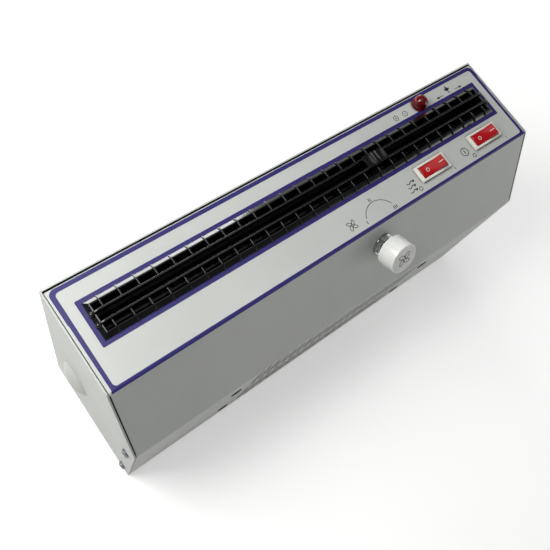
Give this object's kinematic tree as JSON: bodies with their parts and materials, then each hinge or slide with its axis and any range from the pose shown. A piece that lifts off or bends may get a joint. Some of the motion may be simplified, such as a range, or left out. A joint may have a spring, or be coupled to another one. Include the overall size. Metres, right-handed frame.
{
  "type": "ionizing air blower",
  "caption": "Bench ionizing air blower: sheet-metal cabinet with a long top grille over a cross-flow fan, point-cleaner slide, speed knob and two rocker switches.",
  "frame": {"origin": "middle of the flat base, between the end walls and between the skirt and the far wall", "axes": "+X along the cabinet towards the rocker switches, -Y towards the speed knob, +Z out of the air outlet"},
  "size_m": [0.402, 0.1117, 0.201],
  "materials": {
    "cabinet_paint": "satin light grey powder coat on sheet steel",
    "zinc_hardware": "zinc plated steel",
    "nickel_nut": "nickel plated brass nut and washer",
    "filter_foam": "dark open-cell foam",
    "black_abs": "glossy black moulded ABS",
    "brush_nylon": "dark nylon bristle",
    "insulator": "off-white moulded insulator",
    "needle_steel": "ground steel needles",
    "galvanised_sheet": "galvanised sheet",
    "mica": "mica board",
    "heater_aluminium": "heating bar with aluminium fins",
    "sintered_bronze": "oil-filled sintered bronze",
    "impeller_aluminium": "rolled aluminium blades",
    "axle_steel": "ground steel",
    "lamination_steel": "stacked electrical steel",
    "copper_winding": "enamelled copper winding",
    "bracket_aluminium": "die-cast bearing bridges",
    "potting_resin": "black resin potted block",
    "terminal_nylon": "natural nylon",
    "switch_phenolic": "dark moulded switch body",
    "white_knob": "glossy white moulded knob",
    "white_bezel": "white moulded nylon",
    "red_rocker": "glossy translucent red rocker",
    "red_lens": "translucent red lamp lens",
    "black_moulding": "black moulded thermoplastic",
    "pin_brass": "nickel plated brass pins"
  },
  "bodies": {
    "cabinet": {"front_cover": "cabinet_paint", "rear_tray": "cabinet_paint", "end_screws": "zinc_hardware", "bracket_inserts": "zinc_hardware", "intake_filter": "filter_foam", "outlet_grille": "black_abs", "emitter_bar": "insulator", "emitter_needles": "needle_steel", "outlet_duct": "galvanised_sheet", "heater_frame": "mica", "heater_fins": "heater_aluminium", "fan_scroll": "galvanised_sheet", "vortex_tongue": "galvanised_sheet", "fan_end_plate_left": "galvanised_sheet", "fan_end_plate_right": "galvanised_sheet", "fan_bearings": "sintered_bronze", "motor_stator": "lamination_steel", "motor_coil": "copper_winding", "motor_brackets": "bracket_aluminium", "high_voltage_module": "potting_resin", "terminal_block": "terminal_nylon", "speed_switch": "switch_phenolic", "switch_nut": "nickel_nut", "power_switch_body": "white_bezel", "warm_air_switch_body": "white_bezel", "lamp_lens": "red_lens", "lamp_body": "black_moulding", "mains_inlet": "black_moulding", "inlet_pins": "pin_brass", "inlet_screws": "zinc_hardware", "fuse_holder": "black_moulding", "fuse_cap": "black_moulding"},
    "cleaner": {"cleaner_slider": "black_abs", "cleaner_brush": "brush_nylon"},
    "fan": {"fan_rotor": "impeller_aluminium", "fan_shaft": "axle_steel", "motor_rotor": "axle_steel"},
    "speed_control": {"speed_knob": "white_knob", "switch_shaft": "axle_steel"},
    "power_switch": {"power_rocker": "red_rocker"},
    "warm_air_switch": {"warm_air_rocker": "red_rocker"}
  },
  "joints": [
    {"name": "cleaner_slide", "type": "slide", "parent": "cabinet", "child": "cleaner", "axis": [1, 0, 0], "range_m": [-0.215, 0.108]},
    {"name": "fan_spin", "type": "hinge", "parent": "cabinet", "child": "fan", "pos_m": [0, 0.021, 0.084], "axis": [1, 0, 0], "continuous": true},
    {"name": "speed_turn", "type": "hinge", "parent": "cabinet", "child": "speed_control", "pos_m": [0.031, -0.03106, 0.1727], "axis": [0, -0.8774, 0.4798], "range_deg": [-120, 0]},
    {"name": "power_rock", "type": "hinge", "parent": "cabinet", "child": "power_switch", "pos_m": [0.1555, -0.0053, 0.19], "axis": [0, 1, 0], "range_deg": [0, 22]},
    {"name": "warm_air_rock", "type": "hinge", "parent": "cabinet", "child": "warm_air_switch", "pos_m": [0.0954, -0.0053, 0.19], "axis": [0, 1, 0], "range_deg": [0, 22]}
  ]
}
